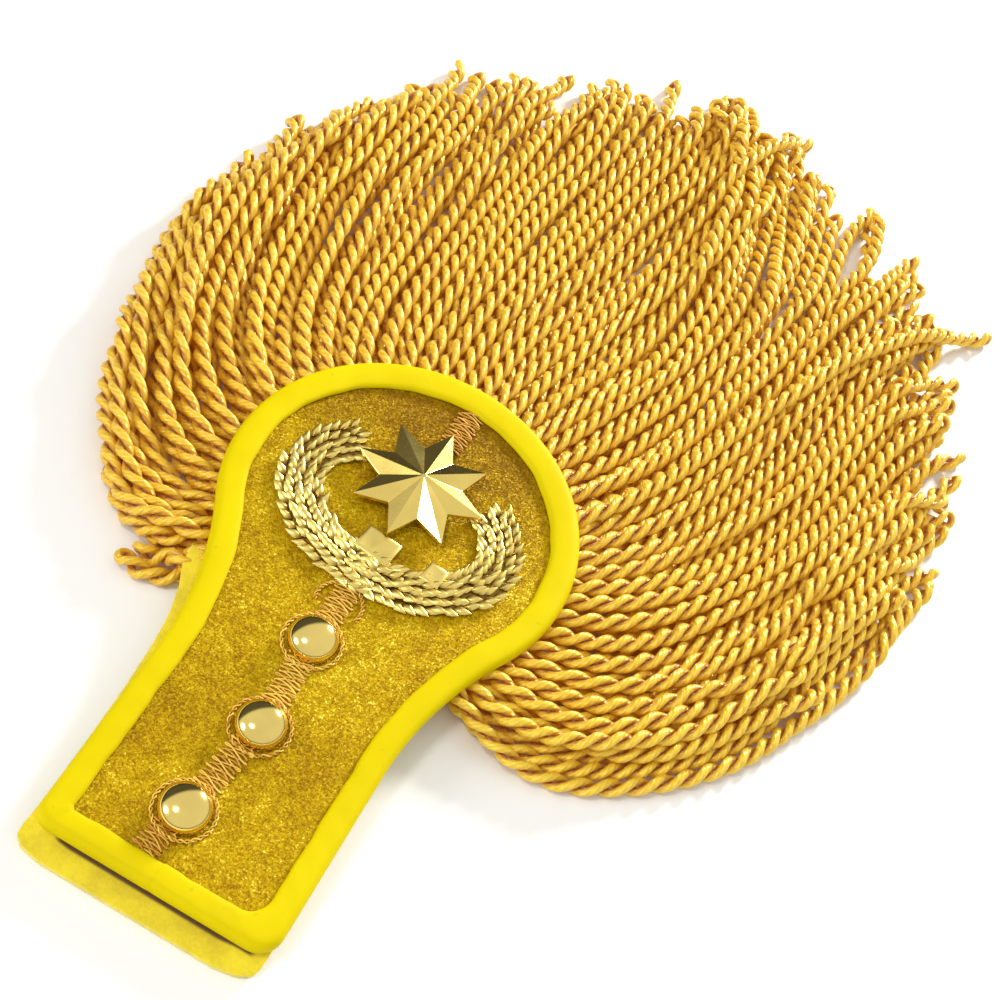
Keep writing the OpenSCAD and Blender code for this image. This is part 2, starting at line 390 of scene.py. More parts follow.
outer_edge = keyhole(51.3, 1.5, 33.1, 73, 126.5, 4, 6)
inner_edge = keyhole(44, 0.3, 26.8, 70, FIELD_END, 1.5, 7)
ribbon_length = np.linalg.norm(np.diff(outer_edge, axis=0), axis=1).sum()
print("ribbon length", round(ribbon_length), "mm")

# %% Ribbon
# share of the way from the inner to the outer edge, and height above the glitter cloth
RIBBON_SECTION = np.array([
    (0, 0.12), (0.0, 0.55), (0.03, 0.95), (0.12, 1.12), (0.3, 1.22), (0.55, 1.25), (0.75, 1.18),
    (0.88, 0.95), (0.96, 0.4), (1.0, -0.5), (1.005, -1.3), (0.99, -2.1), (0.94, -2.8), (0.84, -3.2),
    (0.6, -3.33), (0.3, -3.35), (0.05, -3.35)])
RIBBON_T = 0.55


def rows_to_faces(rows, columns, closed=False):
    """Faces of a sheet of points in rows, closed along the rows if asked."""
    return [(i * columns + k, (i + 1) % rows * columns + k, (i + 1) % rows * columns + k + 1,
             i * columns + k + 1) for i in range(rows - 1 + closed) for k in range(columns - 1)]


def map_sheet(piece, rows, columns, width, length):
    """Lays the cloth's own flat coordinates, in centimetres, on a sheet of points in rows."""
    uv_map = piece.data.uv_layers.new(name="cloth")
    for loop in piece.data.loops:
        row, column = divmod(loop.vertex_index, columns)
        uv_map.data[loop.index].uv = (column / (columns - 1) * width / 10, row / rows * length / 10)


share, height = RIBBON_SECTION.T
rows, columns = len(outer_edge), len(RIBBON_SECTION)
run = np.arange(rows) / rows * 2 * np.pi
ripple = 0.12 * np.sin(17 * run + 1) + 0.1 * np.sin(31 * run) + 0.07 * np.sin(53 * run + 2)
over = np.clip(1 - share / 0.5, 0, 1) * (height > 0)
span = outer_edge[:, None] * share[None, :, None] + inner_edge[:, None] * (1 - share[None, :, None])
inward = unit(inner_edge - outer_edge)
span = span + inward[:, None] * (ripple[:, None] * over[None, :])[:, :, None]
lift = height[None, :] + 0.05 * np.sin(41 * run + 0.5)[:, None] * (height > 0.8)[None, :]
ribbon = new_piece("ribbon_binding", on_board(np.concatenate([span, lift[:, :, None]], 2).reshape(-1, 3)),
                   rows_to_faces(rows, columns, closed=True))
map_sheet(ribbon, rows, columns, 18, ribbon_length)
finish_modifier(ribbon, "SOLIDIFY", thickness=RIBBON_T * MM, offset=-1)
finish_modifier(ribbon, "SUBSURF", levels=1, render_levels=1)

# %% [markdown]
# Satin shows long smooth floats of thread, so it is nearly even, with a soft broad shine. The
# threads are far finer than a millimetre: a fine wave across the ribbon is enough for them.

# %% Satin
satin, g, shader, room = new_material("yellow_satin")
flat = g.node("UVMap", {"uv_map": "cloth"})
threads = g.node("TexWave", {"wave_type": "BANDS", "bands_direction": "Y"},
                 {"Vector": flat, "Scale": 9.0, "Distortion": 0.6, "Detail": 1.0, "Detail Scale": 3.0}, out=1)
worn = noise(g, room, 45, 3.0)
speck = noise(g, room, 420, 1.0).between(0.72, 0.8) * 0.5
tint = worn.between(0.3, 0.75).pick((0.67, 0.535, 0.0004), (0.73, 0.59, 0.0006))
feed(g, shader, base_color=speck.pick(tint, (0.58, 0.44, 0.004)), roughness=0.46 + worn * 0.12,
     normal=raised(g, threads * 0.5 + noise(g, room, 300), 0.00006, 0.5), specular_ior_level=0.06)
hand_over(ribbon, satin, "ribbon", "binding")

# %% [markdown]
# ## The glitter cloth
#
# The board's face is cloth covered with tiny flakes of gilt foil, glued at all angles. The solid
# of the board has the right shape, so it stays and gets its finish. Each cell of a Voronoi pattern
# is one flake: it gets its own tilt, so that a few flash in the light, and its own shade.

# %% Glitter
glitter, g, shader, room = new_material("glitter_cloth")
flake = g.node("TexVoronoi", {"feature": "F1"}, {"Vector": room, "Scale": 2900.0, "Randomness": 1.0}, out=1)
coarse = g.node("TexVoronoi", {"feature": "F1"}, {"Vector": room, "Scale": 1500.0, "Randomness": 1.0}, out=1)
shade = g.node("SeparateColor", None, {"Color": flake})
clump = noise(g, room, 150, 4.0, 0.6) * 0.7 + noise(g, room, 30) * 0.5
level = shade * 0.5 + g.node("SeparateColor", None, {"Color": coarse}) * 0.35 + (clump - 0.5) * 1.05
far = room.axis(1).between((HEAD_Y - 10) * MM, (HEAD_Y + 44) * MM)
gold_flakes = g.node("ValToRGB", {"stops": [(0.0, (0.20, 0.095, 0.001)), (0.35, (0.34, 0.19, 0.002)),
                                            (0.6, (0.48, 0.30, 0.002)), (0.85, (0.61, 0.42, 0.004)),
                                            (1.0, (0.90, 0.74, 0.08))]}, {"Fac": level - far * 0.4})
tilt = g.node("VectorMath", {"operation": "SCALE"}, {0: flake.vector("SUBTRACT", (0.5, 0.5, 0.5)), 3: 0.45})
facing = g.node("NewGeometry", out=1).vector("ADD", tilt).vector("NORMALIZE")
feed(g, shader, base_color=gold_flakes, metallic=0.25, roughness=0.5, specular_ior_level=0.08, normal=facing)
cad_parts["board"].material_slots[0].material = glitter

# %% [markdown]
# ## The felt sleeve
#
# Under the strap a strip of yellow felt makes a flat sleeve for the coat's own shoulder strap. Its
# two flanges are sewn under the board's sides, it bends down from them, and it runs flat in
# between. At its mouth it stands a little beyond the board, which leaves the dark slit: the felt
# inside is painted dark as shade. It is a sheet: rows of points across, one row for each few
# millimetres along, and then a thickness.

# %% Felt sleeve
FELT_T = 2.0
FLANGE_W = 7.0
BEND_W = 6.0
SOFT_GAP = 0.3
# distance from the head's middle, left edge, right edge, rise from flat to the binding's underside
SLEEVE = np.array([
    (-132.5, -26, 22, 0.0), (-131.6, -32, 28, 0.0), (-129.5, -34.6, 31.6, 0.1), (-127, -34.8, 32.4, 0.6),
    (-124, -34.4, 32.6, 1), (-104, -34.2, 32.6, 1), (-84, -34.6, 32.6, 1), (-70, -35.4, 32.6, 1),
    (-60, -36.6, 33, 1), (-51, -39, 33.5, 1), (-44, -42.2, 34, 1), (-38, -43, 33, 1)])
rows, columns = 60, 49
steps = np.concatenate([np.linspace(-132.5, -124, 16), np.linspace(-122, -38, rows - 16)])
across = np.linspace(0, 1, columns)
sheet_points = []
for y in steps:
    left, right_edge, rise = (np.interp(y, SLEEVE[:, 0], SLEEVE[:, c]) for c in (1, 2, 3))
    x = left + (right_edge - left) * across
    inside = np.clip((np.minimum(x - left, right_edge - x) - FLANGE_W) / BEND_W, 0, 1)
    down = inside * inside * (3 - 2 * inside)
    top = rise * max(rim_z(y) - SOFT_GAP - FELT_T, 0)
    z = FELT_T / 2 + top * (1 - down)
    sheet_points.append(np.stack([x, np.full(columns, HEAD_Y + y), z], axis=1))
sleeve = new_piece("felt_sleeve", np.concatenate(sheet_points), rows_to_faces(rows, columns))
map_sheet(sleeve, rows, columns, 72, 94.5)
finish_modifier(sleeve, "SOLIDIFY", thickness=FELT_T * MM, offset=0)
bevel(sleeve, 0.5, 50)

# %% Felt
felt, g, shader, room = new_material("yellow_felt")
fuzz = noise(g, room, 900, 4.0, 0.7)
lumps = noise(g, room, 180, 2.0)
fibre = g.node("TexWave", {"wave_type": "BANDS", "bands_direction": "DIAGONAL"},
               {"Vector": room, "Scale": 320.0, "Distortion": 14.0, "Detail": 2.0, "Detail Scale": 1.5},
               out=1)
tint = (lumps * 0.6 + fuzz * 0.4).between(0.3, 0.7).pick((0.70, 0.54, 0.002), (0.88, 0.72, 0.003))
# the painted shade inside the mouth starts and ends along the board and across it
x, y = room.axis(0), room.axis(1)
painted_slit_shade = y.between((HEAD_Y - 126.7) * MM, (HEAD_Y - 125.8) * MM) * x.between(-27 * MM, -25 * MM)
painted_slit_shade = painted_slit_shade * (1 - y.between((HEAD_Y - 123) * MM, (HEAD_Y - 121) * MM)) * (1 - x.between(28 * MM, 30 * MM))
# painted shade: the felt just inside the mouth is coloured dark
tint = painted_slit_shade.pick(tint, (0.13, 0.055, 0.002))
feed(g, shader, base_color=tint, roughness=0.9, sheen_weight=0.35, sheen_roughness=0.6,
     normal=raised(g, fuzz * 0.6 + fibre * 0.15 + lumps, 0.0003, 0.5))
hand_over(sleeve, felt, "felt", "sleeve")

# %% [markdown]
# ## The gilt star
#
# The star is pressed from sheet metal and gilt. From above it is eight kite shapes, each folded
# along a ridge from its tip to the peak. A disc of sixteen corners is the start: every second
# corner is drawn inward, the rim is extruded, and the top is raised to a point. The thin post
# behind it goes through the board.

# %% Helpers for pieces made with operators
def edit(mode="VERT"):
    """Opens the active piece for editing, with all of it selected."""
    bpy.ops.object.mode_set(mode="EDIT")
    bpy.ops.mesh.select_mode(type=mode)
    bpy.ops.mesh.select_all(action="SELECT")


def spin_round(end, steps):
    """Spins the selected face round the origin, as many degrees to one side as to the other."""
    bpy.ops.transform.rotate(value=math.radians(-end), orient_axis="Z", center_override=(0, 0, 0))
    bpy.ops.mesh.spin(steps=steps, angle=math.radians(2 * end), center=(0, 0, 0), axis=(0, 0, 1))


def leave_edit():
    """Turns all faces outward and ends the editing."""
    bpy.ops.mesh.select_all(action="SELECT")
    bpy.ops.mesh.normals_make_consistent(inside=False)
    bpy.ops.object.mode_set(mode="OBJECT")


def pick_vertices(piece, test):
    """Selects the vertices of the piece in edit mode whose place, in millimetres, passes a test."""
    shape = bmesh.from_edit_mesh(piece.data)
    for vertex in shape.verts:
        vertex.select = bool(test(vertex.co / MM))
    shape.select_flush(True)
    shape.select_flush(False)
    bmesh.update_edit_mesh(piece.data)


def start_piece(name, operator, **settings):
    """Adds a primitive with nothing else selected."""
    bpy.ops.object.select_all(action="DESELECT")
    operator(**settings)
    made = bpy.context.object
    made.name = name
    bpy.ops.object.transform_apply(location=True, rotation=True, scale=True)
    return made


def seat(piece, x, y, z=SEAT_GAP):
    """Moves a piece that was made at the origin to its place on the board, in its mesh."""
    corner = on_board([(x, y, z)])[0]
    piece.data.transform(Matrix.Translation(Vector(corner) * MM) @ Matrix.Rotation(TILT, 4, "X"))
    piece.data.update()


# %% Star
STAR_R = 20.2
STAR_VALLEY_R = 12.0
STAR_BASE = 2.45
STAR_RIM = 1.3
STAR_PEAK = 4.2
star = start_piece("gilt_star", bpy.ops.mesh.primitive_circle_add, vertices=16, radius=STAR_R * MM,
                   fill_type="NGON", location=(0, 0, STAR_BASE * MM))
edit()
pick_vertices(star, lambda p: round(math.degrees(math.atan2(p.x, p.y)) / 22.5) % 2 == 1)
bpy.ops.transform.resize(value=(STAR_VALLEY_R / STAR_R, STAR_VALLEY_R / STAR_R, 1))
bpy.ops.mesh.select_all(action="SELECT")
bpy.ops.mesh.extrude_region_move(TRANSFORM_OT_translate={"value": (0, 0, STAR_RIM * MM)})
bpy.ops.mesh.poke(offset=STAR_PEAK * MM)
leave_edit()
bevel(star, 0.12, 12)
post = start_piece("post", bpy.ops.mesh.primitive_cylinder_add, vertices=32, radius=4 * MM,
                   depth=STAR_BASE * MM, location=(0, 0, STAR_BASE / 2 * MM))
star.select_set(True)
bpy.context.view_layer.objects.active = star
bpy.ops.object.join()
only(star)
bpy.ops.object.shade_flat()
seat(star, 0, STAR_Y)

# %% [markdown]
# Gilt brass is a mirror with a warm tint, and thin gilding has faint scratches and cloudy spots.

# %% Gilt metal
def gilt_metal(name, tint, roughness, scratches, painted_stalk_shade=False):
    """Gilding: its tint, how dull it is, how deep its fine scratches are, and if a kept tone paints it darker
    as shade.
    """
    made, g, shader, room = new_material(name)
    cloudy = noise(g, room, 120, 4.0)
    fine = noise(g, room, 1400, 2.0)
    colour = cloudy.between(0.3, 0.7).pick([c * 0.9 for c in tint], tint)
    if painted_stalk_shade:
        # painted shade: dark where the kept tone is low, at the stalks between the leaves
        colour = kept(g, "tone").between(0.04, 0.5).pick((0.22, 0.12, 0.02), colour)
    feed(g, shader, base_color=colour, metallic=1.0, roughness=roughness + (cloudy - 0.4) * 0.08,
         normal=raised(g, fine, scratches))
    return made


star_gilt = gilt_metal("star_gilt", (0.98, 0.74, 0.2), 0.13, 0.00001)
hand_over(star, star_gilt, "gilt", "star")

# %% [markdown]
# ## The studs
#
# A stud is a low dome of gilt brass on a short side wall. A plane cuts a sphere in half, the cut
# edge is extruded down to make the wall, and then all of it is pressed flatter.

# %% Studs
STUD_H = 5.4
STUD_DOME = 3.9
stud_wall = (STUD_DOME - STUD_H) / STUD_DOME * STUD_R * MM
stud_gilt = gilt_metal("stud_gilt", (0.98, 0.75, 0.22), 0.1, 0.000006)
for number, (x, y) in enumerate(STUD_AT, 1):
    stud = start_piece(f"stud_dome_{number}", bpy.ops.mesh.primitive_uv_sphere_add, segments=48,
                       ring_count=32, radius=STUD_R * MM)
    edit()
    bpy.ops.mesh.bisect(plane_co=(0, 0, 0.01 * MM), plane_no=(0, 0, 1), clear_inner=True, use_fill=False)
    bpy.ops.mesh.extrude_edges_move(TRANSFORM_OT_translate={"value": (0, 0, stud_wall)})
    bpy.ops.mesh.edge_face_add()
    bpy.ops.mesh.select_all(action="SELECT")
    bpy.ops.transform.resize(value=(1, 1, STUD_DOME / STUD_R))
    bpy.ops.transform.translate(value=(0, 0, (STUD_H - STUD_DOME) * MM))
    leave_edit()
    bpy.ops.object.shade_smooth_by_angle(angle=math.radians(35))
    seat(stud, x, y)
    hand_over(stud, stud_gilt, "gilt", f"stud_{number}")

# %% [markdown]
# ## The laurel wreath
#
# The wreath is stamped from thin metal: two branches that start at a tie at the bottom and leave
# the top open. It is wider than it is deep, so its middle line is an oval. Each branch has five
# rows of small pointed leaves that overlap like scales. One leaf is modelled: a ring of corners,
# extruded from its stalk to its tip, each time wider or narrower. Its copies are then laid along
# the oval, the outer rows splayed outward and the inner ones inward. Each keeps a tone, from 0 at
# the stalk to 1 at the tip, by which the metal between the leaves is painted dark as shade.

# %% One leaf
# share of the length, of the width and of the height
LEAF_RINGS = [(0.0, 0.3, 0.5), (0.18, 0.8, 0.85), (0.42, 1.0, 1.0), (0.7, 0.66, 0.75), (0.9, 0.25, 0.4),
              (1.0, 0.03, 0.1)]


def new_leaf(length, width, height):
    """A leaf that starts at the origin and points along +X, ridged along its middle."""
    made = start_piece("leaf", bpy.ops.mesh.primitive_circle_add, vertices=8, radius=MM, fill_type="NGON",
                       rotation=(0, math.pi / 2, 0))
    edit()
    _, wide, tall = LEAF_RINGS[0]
    bpy.ops.transform.resize(value=(1, wide * width / 2, tall * height))
    for (before, was_wide, was_tall), (after, wide, tall) in zip(LEAF_RINGS, LEAF_RINGS[1:]):
        ahead = ((after - before) * length * MM, 0, 0)
        bpy.ops.mesh.extrude_region_move(TRANSFORM_OT_translate={"value": ahead})
        bpy.ops.transform.resize(value=(1, wide / was_wide, tall / was_tall))
    leave_edit()
    return made


# %% Leaves along the oval
WREATH_END = 146
BACKING_END = 138
LEAVES_IN_ROW = 26
LEAF_ROW = 2.2
LEAF_L = 5.2


def oval(t, out):
    """A point at angle t round the oval from its bottom, moved outward, and its bearing there."""
    away = np.array([WREATH_RY * math.sin(t), -WREATH_RX * math.cos(t)])
    point = np.array([WREATH_RX * math.sin(t), -WREATH_RY * math.cos(t)]) + out * away / np.linalg.norm(away)
    return point, math.atan2(WREATH_RY * math.sin(t), WREATH_RX * math.cos(t))


fine = np.radians(np.linspace(-9, WREATH_END, 200))
middle_line = np.array([oval(t, 0)[0] for t in fine])
oval_run = run_along(middle_line)
leaf_step = (oval_run[-1] - 4.5) / LEAVES_IN_ROW
leaves = []
pattern = new_leaf(LEAF_L, 2.8, 0.7)
remember(pattern, "tone", [vertex.co.x / (LEAF_L * MM) for vertex in pattern.data.vertices])
leaf_rng = np.random.default_rng(11)
for side in (-1, 1):
    for i in range(LEAVES_IN_ROW):
        for row in range(-2, 3):
            copy = pattern.copy()
            copy.data = pattern.data.copy()
            bpy.context.scene.collection.objects.link(copy)
            t = np.interp(leaf_step * (i + row % 2 / 2 + leaf_rng.normal(0, 0.12)), oval_run, fine)
            (x, y), way = oval(t, row * LEAF_ROW + leaf_rng.normal(0, 0.25))
            size = 1.0 - 0.006 * i + leaf_rng.normal(0, 0.04)
            place = (Matrix.Scale(side, 4, (1, 0, 0))
                     @ Matrix.Translation(Vector((x, y, 0.95 - 0.07 * row * row)) * MM)
                     @ Matrix.Rotation(way - 0.25 * row + leaf_rng.normal(0, 0.13), 4, "Z")
                     @ Matrix.Rotation(-0.15 + leaf_rng.normal(0, 0.06), 4, "Y") @ Matrix.Scale(size, 4))
            copy.data.transform(place)
            if side < 0:
                copy.data.flip_normals()
            leaves.append(copy)
bpy.data.objects.remove(pattern)
print(len(leaves), "leaves,", round(leaf_step, 2), "mm apart")

# %% Tie and backing of the wreath
# middle across and along the board, length, width, and turn in degrees
TIES = [(-0.4, -12.4, 11, 8.4, -6), (17, -11.6, 6, 6.6, -6)]
for x, y, length, width, turned in TIES:
    tie = start_piece("tie", bpy.ops.mesh.primitive_cube_add, size=MM)
    edit("FACE")
    bpy.ops.transform.resize(value=(length, width, 1.3))
    pick_vertices(tie, lambda p: p.z > 0)
    bpy.ops.mesh.inset(thickness=0.9 * MM, depth=0.2 * MM)
    bpy.ops.mesh.inset(thickness=0.5 * MM, depth=-0.1 * MM)
    bpy.ops.object.mode_set(mode="OBJECT")
    tie.data.transform(Matrix.Translation(Vector((x, y, 1.05)) * MM)
                       @ Matrix.Rotation(math.radians(turned), 4, "Z"))
    bevel(tie, 0.25, 30)
    remember(tie, "tone", np.full(len(tie.data.vertices), 0.75))
    leaves.append(tie)
backing = start_piece("wreath_leaves", bpy.ops.mesh.primitive_circle_add, vertices=8, radius=MM,
                      fill_type="NGON", rotation=(0, math.pi / 2, 0))
edit()
bpy.ops.transform.resize(value=(1, 5.4, 0.4))
bpy.ops.transform.translate(value=(0, -WREATH_RX * MM, 0.45 * MM))
spin_round(BACKING_END, 72)
bpy.ops.mesh.select_all(action="SELECT")
bpy.ops.transform.resize(value=(1, WREATH_RY / WREATH_RX, 1), center_override=(0, 0, 0))
bpy.ops.mesh.remove_doubles(threshold=1e-6)
leave_edit()
only(backing)
for leaf in leaves:
    leaf.select_set(True)
bpy.ops.object.join()
wreath = bpy.context.object
bpy.ops.object.shade_smooth_by_angle(angle=math.radians(40))
seat(wreath, 0, 0)
pale_gilt = gilt_metal("pale_gilt", (0.92, 0.71, 0.20), 0.33, 0.00002, painted_stalk_shade=True)
hand_over(wreath, pale_gilt, "bullion", "wreath")

# %% [markdown]
# ## The gimp braid
#
# Gimp is a flat braid of fine cords. Here it shows as threads that swing from side to side, close
# together, down the middle of the strap and in a ring round each stud. A thread is a thin tube
# along a wave. The waves of neighbouring threads are shifted, and each rises as it crosses the
# others, so they weave.

# %% Threads
BRAID_HALF = 4.1
BRAID_SWING = 2.5
THREAD_R = 0.24


def rings_round(path, radius, side, up, sides):
    """A ring of points round each point of a path, in the plane of two directions."""
    around = 2 * np.pi * np.arange(sides)[None, :, None] / sides
    return path[:, None] + radius * (np.cos(around) * side[:, None] + np.sin(around) * up[:, None])


def tube(path, radius, sides=6):
    """Points and faces of a tube along a path, closed at both ends."""
    path = np.asarray(path, float)
    ahead = unit(np.gradient(path, axis=0))
    side = unit(np.cross(ahead, [0, 0, 1]))
    up = np.cross(side, ahead)
    rings = rings_round(path, radius, side, up, sides)
    faces = [(i * sides + k, i * sides + (k + 1) % sides, (i + 1) * sides + (k + 1) % sides,
              (i + 1) * sides + k) for i in range(len(path) - 1) for k in range(sides)]
    last = (len(path) - 1) * sides
    return rings.reshape(-1, 3), faces + [tuple(range(sides))[::-1], tuple(last + k for k in range(sides))]


def thread_piece(name, paths):
    """One mesh of many threads, each with a tone of its own."""
    points, faces, tones = [], [], []
    for number, path in enumerate(paths):
        base = sum(map(len, points))
        more, sides = tube(path, THREAD_R)
        points.append(more)
        faces += [tuple(base + k for k in face) for face in sides]
        tones.append(np.full(len(more), (number * 0.37) % 1))
    made = new_piece(name, on_board(np.concatenate(points)), faces)
    remember(made, "tone", np.concatenate(tones))
    return made


def wave_threads(start, end):
    """Threads that swing across a straight stretch of braid."""
    start, end = np.array(start, float), np.array(end, float)
    length = np.linalg.norm(end - start)
    along = (end - start) / length
    across = np.array([-along[1], along[0]])
    paths = []
    for number in range(2):
        t = np.linspace(0, length, int(length / BRAID_SWING * 14))
        phase = 2 * np.pi * (t / BRAID_SWING + number / 2)
        wide = BRAID_HALF * (0.98 - 0.12 * number) * np.sin(phase)
        lean = 0.5 * np.sin(2 * phase + number)
        flat = start + (t + lean)[:, None] * along + wide[:, None] * across
        z = 0.62 + 0.3 * np.cos(phase * 1.5 + number)
        paths.append(np.column_stack([flat, z]))
    return paths


def ring_threads(x, y, radius, start=0, end=360):
    """Two threads twisted with each other along an arc."""
    turn = np.radians(np.linspace(start, end, 140))
    paths = []
    for number in range(2):
        phase = 15 * turn + np.pi * number
        r = radius + 0.38 * np.sin(phase)
        z = 0.65 + 0.3 * np.cos(phase)
        paths.append(np.column_stack([x + r * np.cos(turn), y + r * np.sin(turn), z]))
    return paths


ring_r = STUD_R + 1.3
stops = [(-6.4, 0.5 - FIELD_END)] + STUD_AT[::-1] + [(-0.4, -WREATH_RY - 7)]
paths = []
for (x0, y0), (x1, y1) in zip(stops, stops[1:]):
    paths += wave_threads((x0, y0), (x1, y1))
for x, y in STUD_AT:
    paths += ring_threads(x, y, ring_r)
paths += ring_threads(-0.6, -WREATH_RY - 12.4, 6.6, -20, 200)
braid = thread_piece("gimp_braid", paths)
top_braid = thread_piece("top_gimp_braid", wave_threads((0.8, STAR_Y + 17), (1.2, 43.4)))

# %% Gimp thread
gimp, g, shader, room = new_material("gimp_thread")
mix = (kept(g, "tone") * 0.8 + noise(g, room, 500) * 0.5 - 0.1).clamped()
feed(g, shader, base_color=mix.pick((0.50, 0.18, 0.006), (1.0, 0.68, 0.10)), roughness=0.4, metallic=0.1,
     normal=raised(g, noise(g, room, 3000), 0.00005))
hand_over(braid, gimp, "gimp", "braid")
hand_over(top_braid, gimp, "gimp", "top_braid")

# %% [markdown]
# ## The heading tape
#
# The cords are sewn to a stiff tape that runs under the rim of the head and leaves the neck open.
# From above it is hidden, but it shows when the epaulette is turned over. A rounded section is
# spun round the head, from one end of the tape to the other.

# %% Heading tape
ROOT_R = 42.0
TAPE_W = 8.0
TAPE_T = 4.0
TAPE_END = 137
tape = start_piece("heading_tape", bpy.ops.mesh.primitive_plane_add, size=MM,
                   rotation=(0, math.pi / 2, 0))
edit()
bpy.ops.transform.resize(value=(1, TAPE_W, TAPE_T))
bpy.ops.transform.translate(value=(0, ROOT_R * MM, -TAPE_T / 2 * MM))
bpy.ops.mesh.bevel(offset=1.2 * MM, segments=3, affect="VERTICES")
bpy.ops.mesh.select_all(action="SELECT")
spin_round(TAPE_END, 96)
leave_edit()
bpy.ops.object.shade_smooth_by_angle(angle=math.radians(50))
seat(tape, 0, 0, -RIM_DROP - SOFT_GAP)

# %% Woven tape
woven, g, shader, room = new_material("woven_tape")
apart = room.vector("SUBTRACT", (0, HEAD_Y * MM, 0))
round_head = g.math("ARCTAN2", apart.axis(0), apart.axis(1))
from_middle = apart.vector("LENGTH", out=1)
rib = g.math("PINGPONG", round_head * 55, 0.5) * 2
pick = g.math("PINGPONG", from_middle * 900 + rib.between(0.4, 0.6) * 0.5, 0.5) * 2
weave = rib * 0.5 + pick * 0.5
tint = (weave + noise(g, room, 200) * 0.3).clamped().pick((0.30, 0.13, 0.006), (0.72, 0.45, 0.03))
feed(g, shader, base_color=tint, roughness=0.6, normal=raised(g, weave, 0.0003, 0.7))
hand_over(tape, woven, "cord", "fringe")

# %% [markdown]
# ## The fringe
#
# The fringe is about 130 cords in three rows, sewn to the heading tape. Each is one soft strand of
# gilt yarn, doubled at its tip and twisted with itself, so a cord ends in a small loop. First comes
# how the cords lie: a table gives the bearing of a cord at its root, at two bends and at its tip, for
# a few places round the head. A few cords lie apart from the rest. Then they settle: gravity pulls
# them down, and each pushes its neighbours aside, as they do when the epaulette is laid on a table.
# Last, each cord gets its two strands.

# %% How the fringe lies
ROOT_END = 134.0
ROWS = 3
CORDS_IN_ROW = 42
# places along a cord where its bearing is given, as shares of its length
BENDS = [0, 0.3, 0.65, 1]
# angle on the ring of roots, the four bearings, length
FRINGE_LAY = np.array([
    (-134, -152, -42, -12, -4, 148), (-120, -112, -34, -9, 0, 154), (-100, -84, -28, -5, 4, 164),
    (-80, -68, -24, -4, 6, 171), (-60, -52, -11, 0, 4, 176), (-40, -34, 0, 2, 3, 182),
    (-20, -17, 3, 3, 4, 200), (-4, -3, 12, 7, 4, 206), (8, 6, 16, 10, 0, 209), (14, 11, 19, -10, -34, 214),
    (24, 20, 21, -5, -32, 216), (34, 29, 21, 2, -20, 214), (44, 37, 18, 9, 0, 208),
    (60, 50, 18, 13, 24, 203), (80, 68, 29, 14, 26, 192), (103, 88, 36, 16, 24, 181),
    (120, 108, 48, 17, 17, 179), (134, 134, 62, 22, 8, 177)])
# the same values of each cord that lies apart, and its row, counted from the lowest
LOOSE_CORDS = [(60, 34, 20, 22, 46, 214, 3.2), (-134, -156, -132, -112, -104, 30, 0),
               (-131, -170, -138, -114, -104, 33, 0), (-134, -140, -122, -108, -100, 27, 0),
               (-130, -128, -104, -60, -30, 48, 0)]
CORD_STEPS = 46


def lay(angle):
    """The four bearings and the length of a cord at an angle."""
    return [np.interp(angle, FRINGE_LAY[:, 0], FRINGE_LAY[:, column]) for column in (1, 2, 3, 4, 5)]


def route(angle, *bearings_and_length, sway=0.0):
    """The way of a cord over the table: rows of x and y from the head's middle, in equal steps."""
    *bearings, length = bearings_and_length
    done = (np.arange(CORD_STEPS - 1) + 0.5) / (CORD_STEPS - 1)
    way = np.radians(np.interp(done, BENDS, bearings)) + sway
    step = length / (CORD_STEPS - 1)
    start = ROOT_R * np.array([[math.sin(math.radians(angle)), math.cos(math.radians(angle))]])
    return np.concatenate([start, start + step * np.cumsum(np.stack([np.sin(way), np.cos(way)], 1), 0)])


def root_angles(count):
    """Angles on the ring of roots, closer together where the fan of cords spreads more."""
    fine = np.linspace(-ROOT_END, ROOT_END, 135)
    ways = np.array([route(a, *lay(a)) for a in fine])
    far = np.linalg.norm(np.diff(ways[:, CORD_STEPS // 2], axis=0), axis=1)
    near = np.linalg.norm(np.diff(ways[:, 0], axis=0), axis=1)
    crowd = np.interp(fine[1:], [-134, -75, -40, -16, -9, 0, 10, 55, 75, 134],
                      [0.6, 0.8, 1, 1, 1.5, 1.1, 1.2, 1.25, 1, 0.85])
    share = np.concatenate([[0], np.cumsum((far + 0.2 * near) * crowd)])
    return np.interp((np.arange(count) + 0.5) / count * share[-1], share, fine)


rng = np.random.default_rng(49)
run = np.linspace(0, 1, CORD_STEPS - 1)
cord_ways, cord_angles, cord_rows = [], [], []
for row in range(ROWS):
    for angle in root_angles(CORDS_IN_ROW) + (row - 1) * ROOT_END * 2 / CORDS_IN_ROW / ROWS:
        *bearings, length = lay(angle)
        length = length * (0.97 + 0.05 * np.clip(rng.standard_normal(), -1.4, 1.2)) + 3 * row
        sway = math.radians(7) * np.sin(2 * np.pi * (run * rng.uniform(1, 2.2) + rng.random())) * run
        sway += math.radians(np.clip(rng.normal(0, 2.5), -4, 4)) * run
        sway += math.radians(np.clip(rng.normal(0, 14), -22, 22)) * np.clip(run - 0.85, 0, 1) / 0.15
        cord_ways.append(route(angle, *bearings, length, sway=sway))
        cord_angles.append(angle)
        cord_rows.append(row)
for *way, row in LOOSE_CORDS:
    cord_ways.append(route(*way))
    cord_angles.append(way[0])
    cord_rows.append(row)
cord_angles, cord_rows = np.array(cord_angles), np.array(cord_rows)
print(len(cord_ways), "cords")

# %% [markdown]
# ## Letting the cords settle
#
# Each cord is a chain of points. In each round the points sink a little, keep away from the points
# of other cords by a cord's thickness, keep their chain smooth and its steps equal, and stay above
# the table and under the binding. The pairs of points that are close come from a search tree, made
# again every few rounds.

# %% Settle
CORD_D = 5.2
REST_Z = 2.6
# from this radius round the head's middle, at 1.5 mm, the binding no longer lies above a cord
RIM_MIDDLE = 1.5
RIM_R = 51


